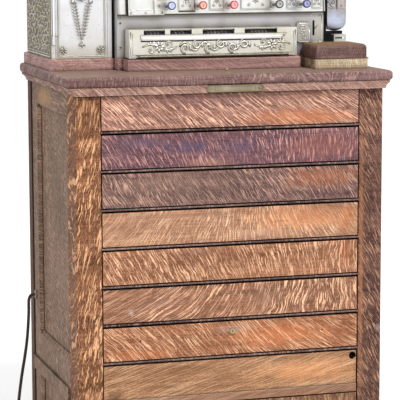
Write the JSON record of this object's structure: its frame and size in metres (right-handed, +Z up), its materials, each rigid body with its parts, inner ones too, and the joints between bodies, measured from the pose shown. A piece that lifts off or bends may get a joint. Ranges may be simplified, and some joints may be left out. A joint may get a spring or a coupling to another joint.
{
  "type": "ticket register",
  "caption": "Antique floor-standing ticket register: nickel register with a key panel and ticket tower on an oak drawer cabinet, with a cloth cord.",
  "frame": {"origin": "on the floor under the middle of the top board", "axes": "+Z up, front towards -Y, +X to the viewer's right when facing the front"},
  "size_m": [0.8965, 0.4734, 1.3096],
  "materials": {
    "bakelite": "moulded",
    "brass": "tarnished brass",
    "cord": "braided cloth",
    "enamel": "stove enamel",
    "glass": "clear",
    "iron": "black enamel",
    "key_black": "keytop",
    "key_blue": "keytop",
    "key_pink": "keytop",
    "key_red": "keytop",
    "key_violet": "keytop",
    "nickel": "worn nickel plate",
    "oak": "old shellac over quarter-sawn oak",
    "oak_dark": "dark aged shellac",
    "oak_inside": "bare wood",
    "paper": "printed paper"
  },
  "bodies": {
    "cabinet": {"back_panel": "oak_dark", "base_plinth": "oak_dark", "cord_coil": "cord", "cord_gland": "brass", "cord_plug": "bakelite", "cord_tube": "cord", "cornice_moulding": "oak_dark", "drawer_rails": "oak", "drawer_runners": "oak_inside", "front_post_left": "oak", "front_post_right": "oak_dark", "indicator_glass": "glass", "indicator_hood": "nickel", "indicator_tablets": "enamel", "key_panel": "nickel", "lid_rest_pin": "brass", "main_case": "nickel", "motor_bracket": "iron", "motor_housing": "nickel", "name_plate": "brass", "register_plinths": "oak_dark", "side_frame_left": "oak", "side_frame_right": "oak", "side_panels": "oak", "slip_box_base": "oak", "slip_guide": "nickel", "top_board": "oak_dark", "tower_case": "nickel"},
    "drawer_1": {"drawer_1": "oak"},
    "drawer_2": {"drawer_2": "oak"},
    "drawer_3": {"drawer_3": "oak"},
    "drawer_4": {"drawer_4": "oak"},
    "drawer_5": {"drawer_5": "oak"},
    "drawer_6": {"drawer_6": "oak"},
    "drawer_7": {"drawer_7": "oak", "lock_barrel": "brass"},
    "drawer_8": {"drawer_8": "oak"},
    "drawer_9": {"drawer_9": "oak"},
    "lock_plug": {"lock_plug": "brass"},
    "tower_door": {"tower_door": "nickel"},
    "ticket_roll": {"ticket_roll": "paper"},
    "counter_lid": {"counter_lid": "nickel"},
    "counter_wheels": {"counter_wheels": "enamel"},
    "slip_box_lid": {"slip_box_lid": "oak_dark"},
    "motor_rotor": {"motor_rotor": "iron"},
    "key_1_1": {"key_1_1": "key_blue"},
    "key_1_2": {"key_1_2": "key_blue"},
    "key_1_3": {"key_1_3": "key_blue"},
    "key_2_1": {"key_2_1": "key_red"},
    "key_2_2": {"key_2_2": "key_red"},
    "key_2_3": {"key_2_3": "key_red"},
    "key_3_1": {"key_3_1": "key_pink"},
    "key_3_2": {"key_3_2": "key_pink"},
    "key_3_3": {"key_3_3": "key_pink"},
    "key_4_1": {"key_4_1": "key_black"},
    "key_4_2": {"key_4_2": "key_black"},
    "key_4_3": {"key_4_3": "key_black"},
    "key_5_1": {"key_5_1": "key_violet"},
    "key_5_2": {"key_5_2": "key_violet"},
    "key_5_3": {"key_5_3": "key_violet"}
  },
  "joints": [
    {"name": "drawer_1_slide", "type": "slide", "parent": "cabinet", "child": "drawer_1", "axis": [0, -1, 0], "range_m": [0, 0.3]},
    {"name": "drawer_2_slide", "type": "slide", "parent": "cabinet", "child": "drawer_2", "axis": [0, -1, 0], "range_m": [0, 0.3]},
    {"name": "drawer_3_slide", "type": "slide", "parent": "cabinet", "child": "drawer_3", "axis": [0, -1, 0], "range_m": [0, 0.3]},
    {"name": "drawer_4_slide", "type": "slide", "parent": "cabinet", "child": "drawer_4", "axis": [0, -1, 0], "range_m": [0, 0.3]},
    {"name": "drawer_5_slide", "type": "slide", "parent": "cabinet", "child": "drawer_5", "axis": [0, -1, 0], "range_m": [0, 0.3]},
    {"name": "drawer_6_slide", "type": "slide", "parent": "cabinet", "child": "drawer_6", "axis": [0, -1, 0], "range_m": [0, 0.3]},
    {"name": "drawer_7_slide", "type": "slide", "parent": "cabinet", "child": "drawer_7", "axis": [0, -1, 0], "range_m": [0, 0.3]},
    {"name": "drawer_8_slide", "type": "slide", "parent": "cabinet", "child": "drawer_8", "axis": [0, -1, 0], "range_m": [0, 0.3]},
    {"name": "drawer_9_slide", "type": "slide", "parent": "cabinet", "child": "drawer_9", "axis": [0, -1, 0], "range_m": [0, 0.3]},
    {"name": "lock_turn", "type": "hinge", "parent": "drawer_7", "child": "lock_plug", "pos_m": [0, -0.22435, 0.36525], "axis": [0, 1, 0], "range_deg": [0, 90]},
    {"name": "tower_door_swing", "type": "hinge", "parent": "cabinet", "child": "tower_door", "pos_m": [-0.329, -0.03735, 0.9246], "axis": [0, 0, 1], "range_deg": [-110, 0]},
    {"name": "ticket_roll_spin", "type": "hinge", "parent": "cabinet", "child": "ticket_roll", "pos_m": [-0.32, 0.09715, 1.0254], "axis": [1, 0, 0], "continuous": true},
    {"name": "counter_lid_fold", "type": "hinge", "parent": "cabinet", "child": "counter_lid", "pos_m": [-0.164, -0.10235, 0.9296], "axis": [1, 0, 0], "range_deg": [0, 95]},
    {"name": "counter_wheels_turn", "type": "hinge", "parent": "cabinet", "child": "counter_wheels", "pos_m": [0, -0.07835, 0.9661], "axis": [1, 0, 0], "continuous": true},
    {"name": "slip_box_lid_swing", "type": "hinge", "parent": "cabinet", "child": "slip_box_lid", "pos_m": [0.323, -0.15235, 0.9201], "axis": [0, 1, 0], "range_deg": [0, 100]},
    {"name": "motor_spin", "type": "hinge", "parent": "cabinet", "child": "motor_rotor", "pos_m": [0.322, 0.17065, 1.0101], "axis": [0, 1, 0], "continuous": true},
    {"name": "key_1_1_press", "type": "slide", "parent": "cabinet", "child": "key_1_1", "axis": [0, 0.9969, -0.0785], "range_m": [0, 0.009], "stiffness_N_per_m": 250, "springref_m": -0.004},
    {"name": "key_1_2_press", "type": "slide", "parent": "cabinet", "child": "key_1_2", "axis": [0, 0.9969, -0.0785], "range_m": [0, 0.009], "stiffness_N_per_m": 250, "springref_m": -0.004},
    {"name": "key_1_3_press", "type": "slide", "parent": "cabinet", "child": "key_1_3", "axis": [0, 0.9969, -0.0785], "range_m": [0, 0.009], "stiffness_N_per_m": 250, "springref_m": -0.004},
    {"name": "key_2_1_press", "type": "slide", "parent": "cabinet", "child": "key_2_1", "axis": [0, 0.9969, -0.0785], "range_m": [0, 0.009], "stiffness_N_per_m": 250, "springref_m": -0.004},
    {"name": "key_2_2_press", "type": "slide", "parent": "cabinet", "child": "key_2_2", "axis": [0, 0.9969, -0.0785], "range_m": [0, 0.009], "stiffness_N_per_m": 250, "springref_m": -0.004},
    {"name": "key_2_3_press", "type": "slide", "parent": "cabinet", "child": "key_2_3", "axis": [0, 0.9969, -0.0785], "range_m": [0, 0.009], "stiffness_N_per_m": 250, "springref_m": -0.004},
    {"name": "key_3_1_press", "type": "slide", "parent": "cabinet", "child": "key_3_1", "axis": [0, 0.9969, -0.0785], "range_m": [0, 0.009], "stiffness_N_per_m": 250, "springref_m": -0.004},
    {"name": "key_3_2_press", "type": "slide", "parent": "cabinet", "child": "key_3_2", "axis": [0, 0.9969, -0.0785], "range_m": [0, 0.009], "stiffness_N_per_m": 250, "springref_m": -0.004},
    {"name": "key_3_3_press", "type": "slide", "parent": "cabinet", "child": "key_3_3", "axis": [0, 0.9969, -0.0785], "range_m": [0, 0.009], "stiffness_N_per_m": 250, "springref_m": -0.004},
    {"name": "key_4_1_press", "type": "slide", "parent": "cabinet", "child": "key_4_1", "axis": [0, 0.9969, -0.0785], "range_m": [0, 0.009], "stiffness_N_per_m": 250, "springref_m": -0.004},
    {"name": "key_4_2_press", "type": "slide", "parent": "cabinet", "child": "key_4_2", "axis": [0, 0.9969, -0.0785], "range_m": [0, 0.009], "stiffness_N_per_m": 250, "springref_m": -0.004},
    {"name": "key_4_3_press", "type": "slide", "parent": "cabinet", "child": "key_4_3", "axis": [0, 0.9969, -0.0785], "range_m": [0, 0.009], "stiffness_N_per_m": 250, "springref_m": -0.004},
    {"name": "key_5_1_press", "type": "slide", "parent": "cabinet", "child": "key_5_1", "axis": [0, 0.9969, -0.0785], "range_m": [0, 0.009], "stiffness_N_per_m": 250, "springref_m": -0.004},
    {"name": "key_5_2_press", "type": "slide", "parent": "cabinet", "child": "key_5_2", "axis": [0, 0.9969, -0.0785], "range_m": [0, 0.009], "stiffness_N_per_m": 250, "springref_m": -0.004},
    {"name": "key_5_3_press", "type": "slide", "parent": "cabinet", "child": "key_5_3", "axis": [0, 0.9969, -0.0785], "range_m": [0, 0.009], "stiffness_N_per_m": 250, "springref_m": -0.004}
  ]
}
